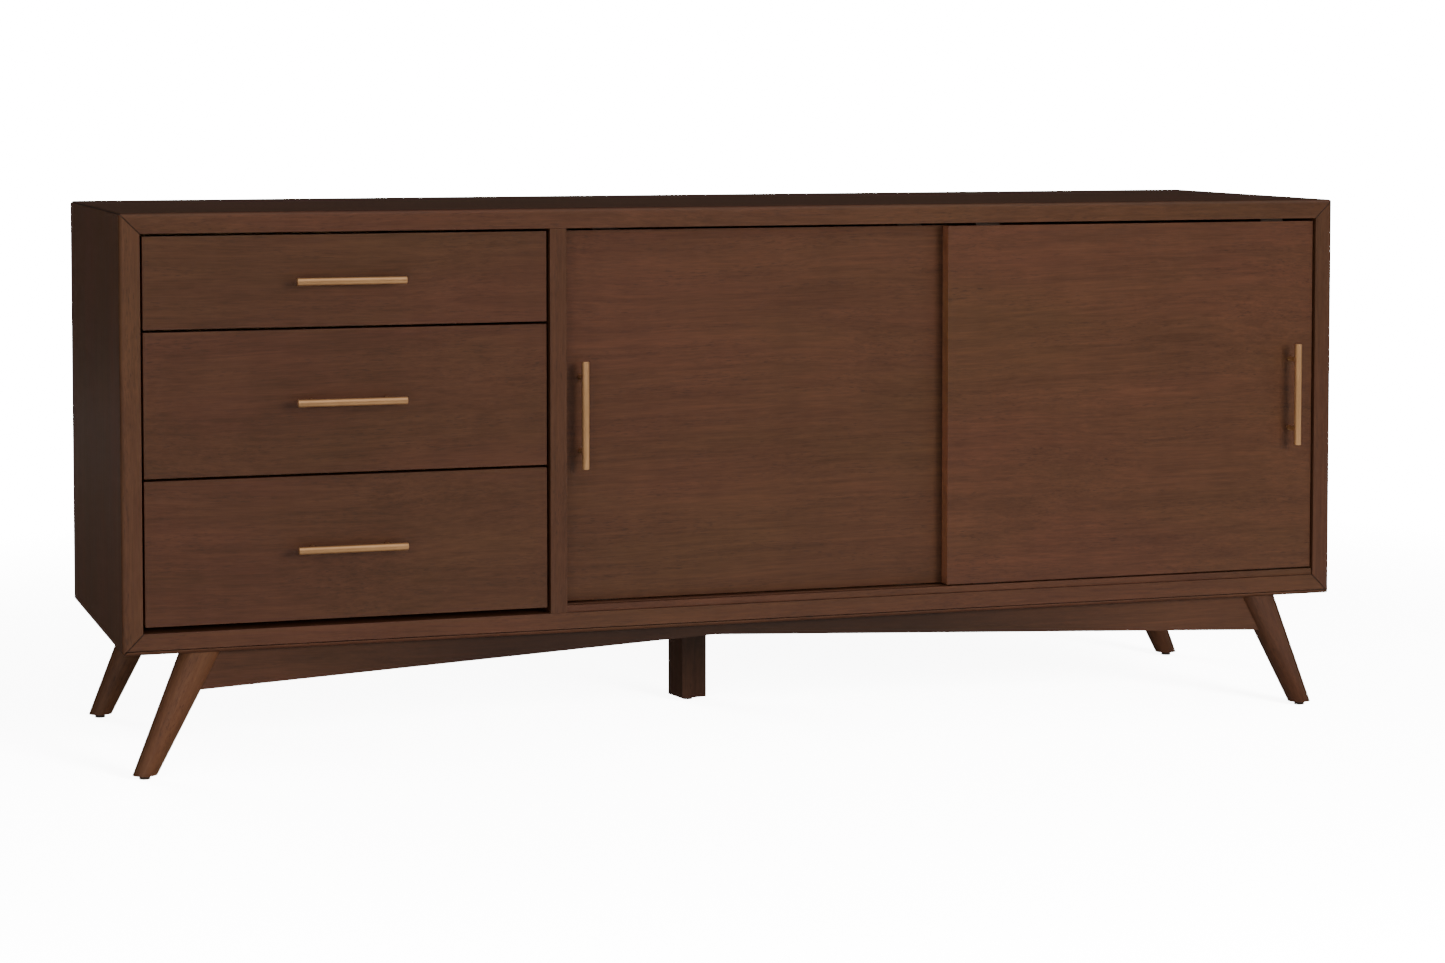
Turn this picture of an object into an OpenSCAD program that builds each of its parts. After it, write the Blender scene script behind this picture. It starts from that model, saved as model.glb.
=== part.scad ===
// Sideboard buffet: a mitred case on splayed legs, three drawers on side-mounted slides
// and two bypass sliding doors. Millimetres, +Z up, front towards -Y.
// The origin is the middle of the floor rectangle under the whole piece, handles included.

/* [Case] */
// Overall width of the case
case_w = 1676; // [1640:1:1760]
// Depth of the case from its front edges to its back edges
case_d = 483; // [470:1:520]
// Height of the top surface above the floor
case_h = 711; // [700:1:760]
// Clear height under the case
under_h = 160; // [150:1:180]
// Thickness of the top board and the two side boards
board_t = 26; // [24:1:28]
// Thickness of the bottom board
floor_t = 27; // [24:1:30]
// Rounding of the four long outer corners
corner_r = 5; // [2:0.5:8]
// Rounding of the outer edges around the front
front_r = 6; // [2:0.5:8]
// Thickness of the upright between drawers and cupboard
divider_t = 22; // [18:1:26]
// Clear width of the drawer bay
drawer_bay_w = 524; // [500:1:540]
// Thickness of the upright in the middle of the cupboard
partition_t = 18; // [16:1:22]
// Thickness of the back panel
back_t = 6; // [4:1:8]
// Width of the rebate that holds the back panel
back_lap = 13; // [8:1:16]

/* [Shelves] */
// Thickness of the adjustable shelves
shelf_t = 16; // [15:1:20]
// Height of the undersides of the shelves above the floor
shelf_z = 430; // [420:1:440]
// Number of support holes in each column
hole_rows = 5; // [3:2:7]
// Spacing of the support holes
hole_pitch = 32; // [25:1:32]
// Diameter of the shelf support pins
pin_d = 5; // [4:0.5:6]

/* [Doors] */
// Width of each sliding door
door_w = 545; // [543:1:550]
// Thickness of the doors and drawer fronts
front_t = 20; // [18:1:20]
// Distance of the drawer fronts and the front door behind the case's front edges
front_inset = 5; // [3:1:6]
// Gap between the two doors, front to back
door_pass = 3; // [2.5:0.5:4]
// Height of the sill board that carries the doors
sill_h = 9; // [8:1:14]
// Gap between the sill and the doors
door_low_gap = 2; // [1.5:0.5:3]
// Gap between the doors and the top board
door_top_gap = 4; // [3:0.5:5]
// Width of the grooves that guide the doors
groove_w = 6; // [6:0.5:8]

/* [Drawers] */
// Height of the top drawer's front
top_front_h = 116; // [112:1:120]
// Height of the middle and bottom drawers' fronts
low_front_h = 182; // [178:1:184]
// Gap around and between the drawer fronts
front_gap = 3.5; // [3:0.5:5]
// Thickness of the sides and backs of the drawer boxes
box_t = 12; // [10:1:14]
// Depth of the drawer boxes behind their fronts
box_d = 405; // [380:1:410]
// Space that a slide takes between a drawer box and the case
slide_t = 13; // [12.7:0.1:13.5]
// Length of the slides
slide_l = 400; // [360:10:400]

/* [Handles] */
// Diameter of the bar
bar_d = 10; // [8:0.5:12]
// Length of the bar
bar_l = 140; // [128:1:180]
// Distance between the two posts
post_pitch = 96; // [96:32:96]
// Diameter of the posts
post_d = 7; // [6.5:0.5:9]
// Distance from the wood to the middle of the bar
bar_out = 25; // [22:1:34]
// Distance of the left door's bar from that door's left edge
left_bar_in = 24; // [22:1:34]
// Distance of the right door's bar from that door's right edge
right_bar_in = 34; // [30:1:44]

/* [Legs] */
// Diameter of a leg where it meets the case
leg_top_d = 48; // [40:1:50]
// Diameter of a leg at its foot
leg_foot_d = 28.5; // [22:0.5:30]
// Angle by which the legs splay to the sides
leg_splay = 24.5; // [15:0.5:26]
// Distance of a foot's centre from the end of the case
foot_in = 30; // [26:1:40]
// Distance of a leg's axis from the front or the back of the case
leg_in = 28; // [26:1:40]
// Thickness of the apron boards between the legs
apron_t = 20; // [16:1:22]
// Height of the apron where it meets the legs
apron_end_h = 50; // [44:1:56]
// Height of the apron at its narrowest
apron_mid_h = 15; // [14:1:30]
// Sideways place of the apron's narrowest point
apron_peak_x = -60; // [-80:5:80]
// Width of the support post under the middle
post_w = 38; // [32:1:50]
// Depth of the support post, front to back
post_depth = 44; // [36:1:54]
// Distance of the support post behind the case's front edges
post_y = 313; // [280:1:340]
// Turn of the support post, seen from above
post_turn = 10; // [0:1:15]

/* [Hidden] */
$fn = 48;
cut = 1;             // how far a cutting shape runs past a face
fit_gap = 0.3;       // running gap between a moving piece and its guide

// Front edge plane of the case, which puts the origin in the middle of the depth
reach = bar_out + bar_d/2 - front_inset;
front_y = (reach - case_d)/2;

// Inner faces of the case
in_x = case_w/2 - board_t;
low_z = under_h + floor_t;
high_z = case_h - board_t;
deep_y = case_d - back_t;
divider_x = drawer_bay_w - in_x;
cupboard_x = divider_x + divider_t;
partition_x = (cupboard_x + in_x - partition_t)/2;
partition_y = 60;
back_rebate_z = [under_h + back_lap, case_h - back_lap];

// Doors run in two tracks: the left one behind, the right one in front
track_y = [front_inset + front_t + door_pass, front_inset];
door_x = [cupboard_x + 2, in_x - 2 - door_w];
door_z = low_z + sill_h + door_low_gap;
door_h = high_z - door_top_gap - door_z;
sill_y = 3;
sill_d = 50;
groove_d = 10;
sill_groove_d = 5;
guide_l = 34;
guide_plate_t = 2;
guide_in = 60;

// Drawers, listed from the top one down
front_hs = [top_front_h, low_front_h, low_front_h];
box_hs = [84, 140, 140];
box_lift = 18;
slide_lift = [40, 45, 45];
front_x = front_gap - in_x;
front_w = drawer_bay_w - 2*front_gap;
box_x = slide_t - in_x;
box_w = drawer_bay_w - 2*slide_t;
box_y = front_inset + front_t;
tenon = 8;
bottom_t = 6;
bottom_up = 10;
bottom_in = 6;
dado = 4;
back_gap = 5;

// Slides: a channel on the case, one between, and one on the drawer box
steel_t = 1.2;
slide_y = 30;
outer_h = 45;
outer_d = 9.5;
middle_h = 36;
middle_d = 7.5;
middle_x = 3;
inner_h = 26;
inner_d = 6.5;

// Handles and their machine screws
screw_d = 4;
screw_grip = 10;
head_d = 8;
head_h = 2.4;
sink = 3;
thread_gap = 0.05;

// Underframe
glide_h = 5;
glide_r = 7;
glide_pin_r = 2.5;
glide_pin_l = 14;
plate_t = 3;
plate_l = 70;
plate_w = 44;
plate_screw_in = 7;
leg_z = [glide_h, under_h];
leg_run = (leg_z[1] - leg_z[0])/cos(leg_splay);
leg_slope = (leg_top_d - leg_foot_d)/2/leg_run;
foot_x = case_w/2 - foot_in;
bolt_r = 4;
bolt_l = 62;
bolt_up = 12;
apron_y = 19;
apron_gap = 0.8;
housing = [4, 14];
post_x = 2;
apron_screw_x = [-600, -300, 0, 300, 600];
apron_head_z = 147;
wood_screw_r = 2;
wood_head_r = 4;
bite = 14;

// Colours
walnut = "#54382a";
walnut_dark = "#3d2a22";
poplar = "#c9a877";
ply = "#8a6a4c";
brass = "#b98a52";
steel = "#a9adb0";
nylon = "#2e2d2c";

// Height of the lower edge of drawer front i
function drawer_z(i) = high_z - sum_to(i) - (i + 1)*front_gap;
// Heights of fronts 0 to i added up
function sum_to(i) = i < 0 ? 0 : front_hs[i] + sum_to(i - 1);
// Height of the middle of the bar on drawer i
function drawer_bar_z(i) = drawer_z(i) + front_hs[i]/2;
// Height of the middle of the slides of drawer i
function slide_z(i) = drawer_z(i) + box_lift + slide_lift[i];
// Sideways place of the axis of a left-hand leg at height z
function leg_axis_x(z) = -foot_x + (z - glide_h)*tan(leg_splay);

// Moves a shape drawn from the case's front edges into the part's own frame
module placed(colour) {
    color(colour)
        translate([0, front_y, 0])
            children();
}

// Box from its lowest corner to its highest corner
module block(low, high) {
    translate(low)
        cube(high - low);
}

// Cylinder along Y from a point
module y_rod(at, d, l) {
    translate(at)
        rotate([-90, 0, 0])
            cylinder(h = l, d = d);
}

// ---------- Case ----------

// Solid block of the case with its long corners and its front edges rounded
module case_block() {
    tall = case_h - under_h;
    difference() {
        rotate([90, 0, 0])
            mirror([0, 0, 1])
                linear_extrude(case_d)
                    rounded_rect([-case_w/2, under_h], [case_w, tall], corner_r);
        translate([0, 0, under_h])
            edge_cutter(front_r, case_w);
        translate([0, 0, case_h])
            mirror([0, 0, 1])
                edge_cutter(front_r, case_w);
        for (s = [0, 1])
            mirror([s, 0, 0])
                translate([-case_w/2, 0, under_h + tall/2])
                    rotate([0, 90, 0])
                        edge_cutter(front_r, tall);
    }
}

// What to cut from an edge along X to round it; the wood lies towards +Y and +Z
module edge_cutter(r, l) {
    difference() {
        translate([-l/2 - cut, -cut, -cut])
            cube([l + 2*cut, r + cut, r + cut]);
        translate([-l/2 - 2*cut, r, r])
            rotate([0, 90, 0])
                cylinder(h = l + 4*cut, r = r);
    }
}

module rounded_rect(at, size, r) {
    translate(at + [r, 0])
        square([size[0] - 2*r, size[1]]);
    translate(at + [0, r])
        square([size[0], size[1] - 2*r]);
    for (x = [r, size[0] - r], y = [r, size[1] - r])
        translate(at + [x, y])
            circle(r);
}

// Wedge that keeps one mitred board; its outline runs from the inner corners of the case
// through the outer corners and past them
module mitre_wedge(points) {
    translate([0, case_d + cut, 0])
        rotate([90, 0, 0])
            linear_extrude(case_d + 2*cut)
                polygon(points);
}

mitre_run = 1.1;
mitre_x = in_x + mitre_run*board_t;
mitre_low_z = low_z - mitre_run*floor_t;
mitre_high_z = high_z + mitre_run*board_t;

module flat_board_wedge(inner_z, outer_z) {
    mitre_wedge([[-in_x, inner_z], [in_x, inner_z], [mitre_x, outer_z], [-mitre_x, outer_z]]);
}

module side_board_wedge(side) {
    mitre_wedge([
        [side*in_x, low_z], [side*mitre_x, mitre_low_z],
        [side*mitre_x, mitre_high_z], [side*in_x, high_z]
    ]);
}

module back_rebate() {
    edge = case_w/2 - back_lap;
    block([-edge, deep_y, back_rebate_z[0]], [edge, case_d + cut, back_rebate_z[1]]);
}

module top_panel() {
    placed(walnut)
        difference() {
            intersection() {
                case_block();
                flat_board_wedge(high_z, mitre_high_z);
            }
            back_rebate();
            for (y = track_y)
                block([cupboard_x, y + (front_t - groove_w)/2, high_z - cut],
                      [in_x, y + (front_t + groove_w)/2, high_z + groove_d]);
        }
}

module bottom_panel() {
    placed(walnut)
        difference() {
            intersection() {
                case_block();
                flat_board_wedge(low_z, mitre_low_z);
            }
            back_rebate();
            each_leg() {
                leg_plate_space(cut, fit_gap);
                leg_bolt(thread_gap*5, bolt_up + plate_t + 1);
                plate_screw_places()
                    cylinder(h = under_h + plate_t + bite + 1, r = wood_screw_r + thread_gap);
            }
            apron_screw_places()
                translate([0, 0, under_h - cut])
                    cylinder(h = bite + cut + 1, r = wood_screw_r + thread_gap);
            centre_screw_places() {
                translate([0, 0, under_h - cut])
                    cylinder(h = floor_t + 2*cut, r = wood_screw_r + thread_gap);
                translate([0, 0, low_z - sink])
                    cylinder(h = sink + cut, r = wood_head_r + 0.5);
            }
        }
}

module side_panel(side) {
    difference() {
        intersection() {
            case_block();
            side_board_wedge(side);
        }
        back_rebate();
        children();
    }
}

module left_side_panel() {
    placed(walnut)
        side_panel(-1);
}

module right_side_panel() {
    placed(walnut)
        side_panel(1)
            support_holes(in_x, 1);
}

module drawer_divider() {
    placed(walnut)
        difference() {
            block([divider_x, 0, low_z], [cupboard_x, deep_y, high_z]);
            support_holes(cupboard_x, -1);
        }
}

module cupboard_partition() {
    placed(walnut_dark)
        difference() {
            block([partition_x, partition_y, low_z], [partition_x + partition_t, deep_y, high_z]);
            support_holes(partition_x, 1);
            support_holes(partition_x + partition_t, -1);
        }
}

module back_panel() {
    edge = case_w/2 - back_lap;
    placed(ply)
        block([-edge, deep_y, back_rebate_z[0]], [edge, case_d, back_rebate_z[1]]);
}

// Grooved board under the doors, a little behind the case's front edges
module door_sill() {
    placed(walnut)
        difference() {
            block([cupboard_x, sill_y, low_z], [in_x, sill_y + sill_d, low_z + sill_h]);
            for (y = track_y)
                block([cupboard_x - cut, y + (front_t - groove_w)/2, low_z + sill_h - sill_groove_d],
                      [in_x + cut, y + (front_t + groove_w)/2, low_z + sill_h + cut]);
        }
}

// ---------- Shelves ----------

pin_in = 8;
pin_out = 9;
pin_y = [partition_y + 40, deep_y - 50];
pin_z = shelf_z - pin_d/2 - thread_gap;

// Two columns of blind holes that go into a wall at x; away is the way into the wood
module support_holes(x, away) {
    for (y = pin_y, k = [0:hole_rows - 1])
        translate([x - away*cut, y, pin_z + (k - (hole_rows - 1)/2)*hole_pitch])
            rotate([0, away*90, 0])
                cylinder(h = pin_in + 0.5 + cut, d = pin_d + 2*thread_gap);
}

module shelf(x0, x1) {
    placed(walnut_dark)
        block([x0 + 1, partition_y + 4, shelf_z], [x1 - 1, deep_y - 6, shelf_z + shelf_t]);
}

module shelf_pin(x, away, y) {
    translate([x + away*pin_in, y, pin_z])
        rotate([0, -away*90, 0])
            cylinder(h = pin_in + pin_out, d = pin_d);
}

module shelf_pins() {
    walls = [[cupboard_x, -1], [partition_x, 1], [partition_x + partition_t, -1], [in_x, 1]];
    placed(steel)
        for (w = walls, y = pin_y)
            shelf_pin(w[0], w[1], y);
}

// ---------- Handles ----------

// Bar handle along X in front of the wood at y = 0
module bar_handle() {
    translate([-bar_l/2, -bar_out, 0])
        rotate([0, 90, 0])
            bar_shape();
    for (side = [-1, 1])
        difference() {
            y_rod([side*post_pitch/2, -bar_out, 0], post_d, bar_out);
            y_rod([side*post_pitch/2, -screw_grip, 0], screw_d + 2*thread_gap, screw_grip + cut);
        }
}

// Bar with slightly chamfered ends
module bar_shape() {
    chamfer = 0.8;
    rotate_extrude()
        polygon([
            [0, 0], [bar_d/2 - chamfer, 0], [bar_d/2, chamfer],
            [bar_d/2, bar_l - chamfer], [bar_d/2 - chamfer, bar_l], [0, bar_l]
        ]);
}

// Holes for the two handle screws, with a sunk seat for the heads at depth sunk
module handle_holes(sunk) {
    for (side = [-1, 1])
        translate([side*post_pitch/2, 0, 0]) {
            y_rod([0, -cut, 0], screw_d + 0.5, front_t + 2*cut);
            if (sunk > 0)
                y_rod([0, front_t - sunk, 0], head_d + 1, sunk + cut);
        }
}

// Two machine screws; their heads bear on the wood at depth sunk behind the back face
module handle_screws(sunk) {
    for (side = [-1, 1])
        translate([side*post_pitch/2, 0, 0]) {
            y_rod([0, 1 - screw_grip, 0], screw_d, front_t - sunk + screw_grip - 1);
            y_rod([0, front_t - sunk, 0], head_d, head_h);
        }
}

// ---------- Doors ----------

door_bar_x = [door_x[0] + left_bar_in, door_x[1] + door_w - right_bar_in];
door_bar_up = 2.5;
door_bar_z = door_z + door_h/2 + door_bar_up;

// Turns a handle shape upright and puts it on door i
module on_door(i) {
    translate([door_bar_x[i], track_y[i], door_bar_z])
        rotate([0, 90, 0])
            children();
}

// Calls its children at the two places where door i has guides
module guide_places(i) {
    for (x = [door_x[i] + guide_in, door_x[i] + door_w - guide_in])
        translate([x, track_y[i] + front_t/2, 0])
            children();
}

module door_panel(i) {
    placed(walnut)
        difference() {
            translate([door_x[i], track_y[i], door_z])
                cube([door_w, front_t, door_h]);
            on_door(i)
                handle_holes(sink);
            guide_places(i)
                for (z = [door_z, door_z + door_h])
                    translate([0, 0, z])
                        cube([guide_l + 10, front_t - 8, 2*guide_plate_t], center = true);
        }
}

module door_handle(i) {
    placed(brass)
        on_door(i)
            bar_handle();
}

module door_screws(i) {
    placed(steel)
        on_door(i)
            handle_screws(sink);
}

// Let-in plates with fins that run in the grooves above and below
module door_guides(i) {
    fin_w = groove_w - 2*fit_gap;
    low_fin_z = low_z + sill_h - sill_groove_d + fit_gap;
    high_fin_z = high_z + groove_d - 2;
    placed(nylon)
        guide_places(i) {
            block([-guide_l/2 - 5, 4 - front_t/2, door_z],
                  [guide_l/2 + 5, front_t/2 - 4, door_z + guide_plate_t]);
            block([-guide_l/2, -fin_w/2, low_fin_z], [guide_l/2, fin_w/2, door_z]);
            block([-guide_l/2 - 5, 4 - front_t/2, door_z + door_h - guide_plate_t],
                  [guide_l/2 + 5, front_t/2 - 4, door_z + door_h]);
            block([-guide_l/2, -fin_w/2, door_z + door_h], [guide_l/2, fin_w/2, high_fin_z]);
        }
}

// ---------- Drawers ----------

// Sideways place of the outer face of the side boards, left 0 and right 1
box_side_x = [box_x, box_x + box_w - box_t];

module box_bottom_space(i, grow) {
    z = drawer_z(i) + box_lift + bottom_up;
    block([box_x + box_t - bottom_in, box_y - bottom_in, z],
          [box_x + box_w - box_t + bottom_in, box_y + box_d - back_gap + grow, z + bottom_t]);
}

module side_board_space(i, s) {
    z = drawer_z(i) + box_lift;
    block([box_side_x[s], box_y - tenon, z],
          [box_side_x[s] + box_t, box_y + box_d, z + box_hs[i]]);
}

module back_board_space(i) {
    z = drawer_z(i) + box_lift;
    block([box_x + box_t - dado, box_y + box_d - back_gap - box_t, z + bottom_up + bottom_t],
          [box_x + box_w - box_t + dado, box_y + box_d - back_gap, z + box_hs[i]]);
}

module drawer_front(i) {
    placed(walnut)
        difference() {
            translate([front_x, front_inset, drawer_z(i)])
                cube([front_w, front_t, front_hs[i]]);
            translate([front_x + front_w/2, front_inset, drawer_bar_z(i)])
                handle_holes(0);
            side_board_space(i, 0);
            side_board_space(i, 1);
            box_bottom_space(i, 0);
        }
}

module drawer_side(i, s) {
    placed(poplar)
        difference() {
            side_board_space(i, s);
            box_bottom_space(i, back_gap + cut);
            back_board_space(i);
        }
}

module drawer_back(i) {
    placed(poplar)
        back_board_space(i);
}

module drawer_bottom(i) {
    placed(poplar)
        box_bottom_space(i, 0);
}

module drawer_handle(i) {
    placed(brass)
        translate([front_x + front_w/2, front_inset, drawer_bar_z(i)])
            bar_handle();
}

module drawer_screws(i) {
    placed(steel)
        translate([front_x + front_w/2, front_inset, drawer_bar_z(i)])
            handle_screws(0);
}

// ---------- Slides ----------

// Steel channel along Y with its web at x = 0 and its mouth towards +X
module channel(depth, height) {
    translate([0, slide_y, -height/2])
        difference() {
            cube([depth, slide_l, height]);
            translate([steel_t, -cut, steel_t])
                cube([depth, slide_l + 2*cut, height - 2*steel_t]);
        }
}

// Puts a left-hand slide shape on both walls of the bay, beside drawer i
module both_walls(i) {
    for (s = [0, 1])
        translate([s == 0 ? -in_x : divider_x, 0, slide_z(i)])
            mirror([s, 0, 0])
                children();
}

module case_slide_channels() {
    placed(steel)
        for (i = [0:2])
            both_walls(i)
                channel(outer_d, outer_h);
}

module slide_middle(i) {
    placed(steel)
        both_walls(i)
            translate([middle_x, 0, 0])
                channel(middle_d, middle_h);
}

module drawer_runners(i) {
    placed(steel)
        both_walls(i)
            translate([slide_t, 0, 0])
                mirror([1, 0, 0])
                    channel(inner_d, inner_h);
}

// ---------- Underframe ----------

leg_y = [leg_in, case_d - leg_in];

// Calls its children for the four legs, drawn as the left leg at y = 0
module each_leg() {
    for (s = [0, 1], y = leg_y)
        translate([0, y, 0])
            mirror([s, 0, 0])
                children();
}

// Full cone of the left leg, run past both ends, grown by grow
module leg_cone(grow) {
    over = 20;
    translate([-foot_x, 0, glide_h])
        rotate([0, leg_splay, 0])
            translate([0, 0, -over])
                cylinder(h = leg_run + 2*over,
                         r1 = leg_foot_d/2 - leg_slope*over + grow,
                         r2 = leg_top_d/2 + leg_slope*over + grow);
}

// Cylinder on the left leg's axis, from inside the leg to a height past the case's underside
module leg_bolt(grow, up) {
    above = (under_h + up - glide_h)/cos(leg_splay);
    translate([-foot_x, 0, glide_h])
        rotate([0, leg_splay, 0])
            translate([0, 0, above - bolt_l - grow])
                cylinder(h = bolt_l + grow, r = bolt_r + grow);
}

// Calls its children at the four wood screws of the left leg's plate
module plate_screw_places() {
    x1 = leg_axis_x(under_h) + plate_l*0.42;
    for (x = [x1 - plate_l + plate_screw_in, x1 - plate_screw_in], s = [-1, 1])
        translate([x, s*(plate_w/2 - plate_screw_in), 0])
            children();
}

// Leg with a housing that takes the apron's end
module leg(s, y) {
    placed(walnut_dark)
        difference() {
            translate([0, leg_y[y], 0])
                mirror([s, 0, 0])
                    difference() {
                        intersection() {
                            leg_cone(0);
                            block([-case_w/2, -leg_top_d, leg_z[0]], [0, leg_top_d, leg_z[1]]);
                        }
                        leg_bolt(thread_gap, bolt_up);
                        translate([-foot_x, 0, glide_h - cut])
                            cylinder(h = glide_pin_l + cut, r = glide_pin_r + thread_gap);
                    }
            apron_board(y == 0 ? apron_y : back_apron_y, apron_gap);
        }
}

// Plates let into the underside of the bottom board, flush with it
module leg_plates() {
    placed(steel)
        each_leg()
            difference() {
                leg_plate_space(0, 0);
                leg_bolt(thread_gap, bolt_up);
                plate_screw_places()
                    translate([0, 0, under_h - cut])
                        cylinder(h = plate_t + 2*cut, r = wood_screw_r + 0.2);
            }
}

// Block of the left leg's plate, run down by low and grown sideways by grow
module leg_plate_space(low, grow) {
    x1 = leg_axis_x(under_h) + plate_l*0.42;
    block([x1 - plate_l - grow, -plate_w/2 - grow, under_h - low],
          [x1 + grow, plate_w/2 + grow, under_h + plate_t]);
}

module leg_bolts() {
    placed(steel)
        each_leg()
            leg_bolt(0, bolt_up);
}

// Wood screws that hold the plates, with their heads flush in the plates
module leg_plate_screws() {
    placed(steel)
        each_leg()
            plate_screw_places()
                translate([0, 0, under_h])
                    cylinder(h = plate_t + bite, r = wood_screw_r);
}

module foot_glide(x, y) {
    translate([x, y, 0]) {
        cylinder(h = glide_h, r = glide_r);
        cylinder(h = glide_h + glide_pin_l - 1, r = glide_pin_r);
    }
}

module foot_glides() {
    placed(nylon) {
        for (x = [-foot_x, foot_x], y = leg_y)
            foot_glide(x, y);
        at_post()
            foot_glide(0, 0);
    }
}

// Calls its children at the apron screws, front and back
module apron_screw_places() {
    for (x = apron_screw_x, y = [apron_y, back_apron_y] + apron_t/2*[1, 1])
        translate([x, y, 0])
            children();
}

back_apron_y = case_d - apron_y - apron_t;

// Board between two legs, grown by grow; its lower edge rises to the narrowest point, and
// its ends slope with the legs and stand in their housings
module apron_board(y0, grow) {
    low = under_h - apron_end_h;
    ends = [leg_axis_x(low) + leg_top_d/2 - housing[0], leg_axis_x(under_h) + leg_top_d/2 - housing[1]];
    translate([0, y0 + apron_t + grow, 0])
        rotate([90, 0, 0])
            linear_extrude(apron_t + 2*grow)
                offset(delta = grow)
                    polygon([
                        [ends[0], low], [apron_peak_x, under_h - apron_mid_h], [-ends[0], low],
                        [-ends[1], under_h], [ends[1], under_h]
                    ]);
}

module apron(y0) {
    placed(walnut)
        difference() {
            apron_board(y0, 0);
            apron_screw_places() {
                cylinder(h = case_h, r = wood_screw_r + 0.3);
                cylinder(h = apron_head_z, r = wood_head_r + 0.5);
            }
        }
}

// Puts a shape drawn round the origin on the support post's axis
module at_post() {
    translate([post_x, post_y + post_depth/2, 0])
        rotate([0, 0, post_turn])
            children();
}

module centre_post() {
    placed(walnut_dark)
        difference() {
            at_post()
                block([-post_w/2, -post_depth/2, glide_h], [post_w/2, post_depth/2, under_h]);
            at_post()
                translate([0, 0, glide_h - cut])
                    cylinder(h = glide_pin_l + cut, r = glide_pin_r + thread_gap);
            centre_screw_places()
                translate([0, 0, low_z - sink - 50])
                    cylinder(h = 50, r = wood_screw_r + thread_gap);
        }
}

// Calls its children at the two screws that go down into the centre post
module centre_screw_places() {
    at_post()
        for (s = [-1, 1])
            translate([0, s*12, 0])
                children();
}

module underframe_screws() {
    placed(steel) {
        apron_screw_places() {
            translate([0, 0, apron_head_z - head_h])
                cylinder(h = head_h, r = wood_head_r);
            translate([0, 0, apron_head_z])
                cylinder(h = under_h + bite - apron_head_z, r = wood_screw_r);
        }
        centre_screw_places() {
            translate([0, 0, low_z - sink])
                cylinder(h = head_h, r = wood_head_r);
            translate([0, 0, low_z - sink - 48])
                cylinder(h = 48, r = wood_screw_r);
        }
    }
}

top_panel();
bottom_panel();
left_side_panel();
right_side_panel();
drawer_divider();
cupboard_partition();
back_panel();
door_sill();
shelf(cupboard_x, partition_x);  // left_shelf
shelf(partition_x + partition_t, in_x);  // right_shelf
shelf_pins();
door_panel(0);  // left_door_panel
door_handle(0);  // left_door_handle
door_guides(0);  // left_door_guides
door_screws(0);  // left_door_screws
door_panel(1);  // right_door_panel
door_handle(1);  // right_door_handle
door_guides(1);  // right_door_guides
door_screws(1);  // right_door_screws
drawer_front(0);  // top_drawer_front
drawer_side(0, 0);  // top_drawer_left_side
drawer_side(0, 1);  // top_drawer_right_side
drawer_back(0);  // top_drawer_back
drawer_bottom(0);  // top_drawer_bottom
drawer_handle(0);  // top_drawer_handle
drawer_screws(0);  // top_drawer_screws
drawer_runners(0);  // top_drawer_runners
slide_middle(0);  // top_slide_middle
drawer_front(1);  // middle_drawer_front
drawer_side(1, 0);  // middle_drawer_left_side
drawer_side(1, 1);  // middle_drawer_right_side
drawer_back(1);  // middle_drawer_back
drawer_bottom(1);  // middle_drawer_bottom
drawer_handle(1);  // middle_drawer_handle
drawer_screws(1);  // middle_drawer_screws
drawer_runners(1);  // middle_drawer_runners
slide_middle(1);  // middle_slide_middle
drawer_front(2);  // bottom_drawer_front
drawer_side(2, 0);  // bottom_drawer_left_side
drawer_side(2, 1);  // bottom_drawer_right_side
drawer_back(2);  // bottom_drawer_back
drawer_bottom(2);  // bottom_drawer_bottom
drawer_handle(2);  // bottom_drawer_handle
drawer_screws(2);  // bottom_drawer_screws
drawer_runners(2);  // bottom_drawer_runners
slide_middle(2);  // bottom_slide_middle
case_slide_channels();
leg(0, 0);  // front_left_leg
leg(1, 0);  // front_right_leg
leg(0, 1);  // back_left_leg
leg(1, 1);  // back_right_leg
leg_plates();
leg_bolts();
leg_plate_screws();
foot_glides();
apron(apron_y);  // front_apron
apron(back_apron_y);  // back_apron
centre_post();
underframe_screws();
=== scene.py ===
"""Sideboard buffet: looks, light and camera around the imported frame. Metres throughout."""

import math

import bmesh
import bpy
from mathutils import Matrix, Vector


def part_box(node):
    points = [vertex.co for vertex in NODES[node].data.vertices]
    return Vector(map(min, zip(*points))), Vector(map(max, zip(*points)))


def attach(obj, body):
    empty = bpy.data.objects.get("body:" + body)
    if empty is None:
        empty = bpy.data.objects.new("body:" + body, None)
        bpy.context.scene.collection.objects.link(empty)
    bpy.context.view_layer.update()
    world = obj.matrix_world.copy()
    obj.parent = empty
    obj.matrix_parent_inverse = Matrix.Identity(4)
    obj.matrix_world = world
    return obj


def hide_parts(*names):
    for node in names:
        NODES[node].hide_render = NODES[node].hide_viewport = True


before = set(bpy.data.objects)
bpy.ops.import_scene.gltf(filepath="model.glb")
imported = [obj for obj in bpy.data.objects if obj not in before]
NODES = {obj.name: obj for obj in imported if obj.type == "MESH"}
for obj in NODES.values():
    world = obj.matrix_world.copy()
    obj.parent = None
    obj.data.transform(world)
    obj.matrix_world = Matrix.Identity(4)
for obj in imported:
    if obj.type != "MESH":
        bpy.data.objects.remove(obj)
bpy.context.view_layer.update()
DRAWERS = ("top", "middle", "bottom")
DOORS = ("left", "right")
MM = 0.001

CASE_HALF_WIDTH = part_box("right_side_panel")[1].x
CASE_MIDDLE_Z = (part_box("bottom_panel")[0].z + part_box("top_panel")[1].z) / 2
CASE_HALF_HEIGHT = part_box("top_panel")[1].z - CASE_MIDDLE_Z

# ---------------------------------------------------------------- camera

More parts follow.
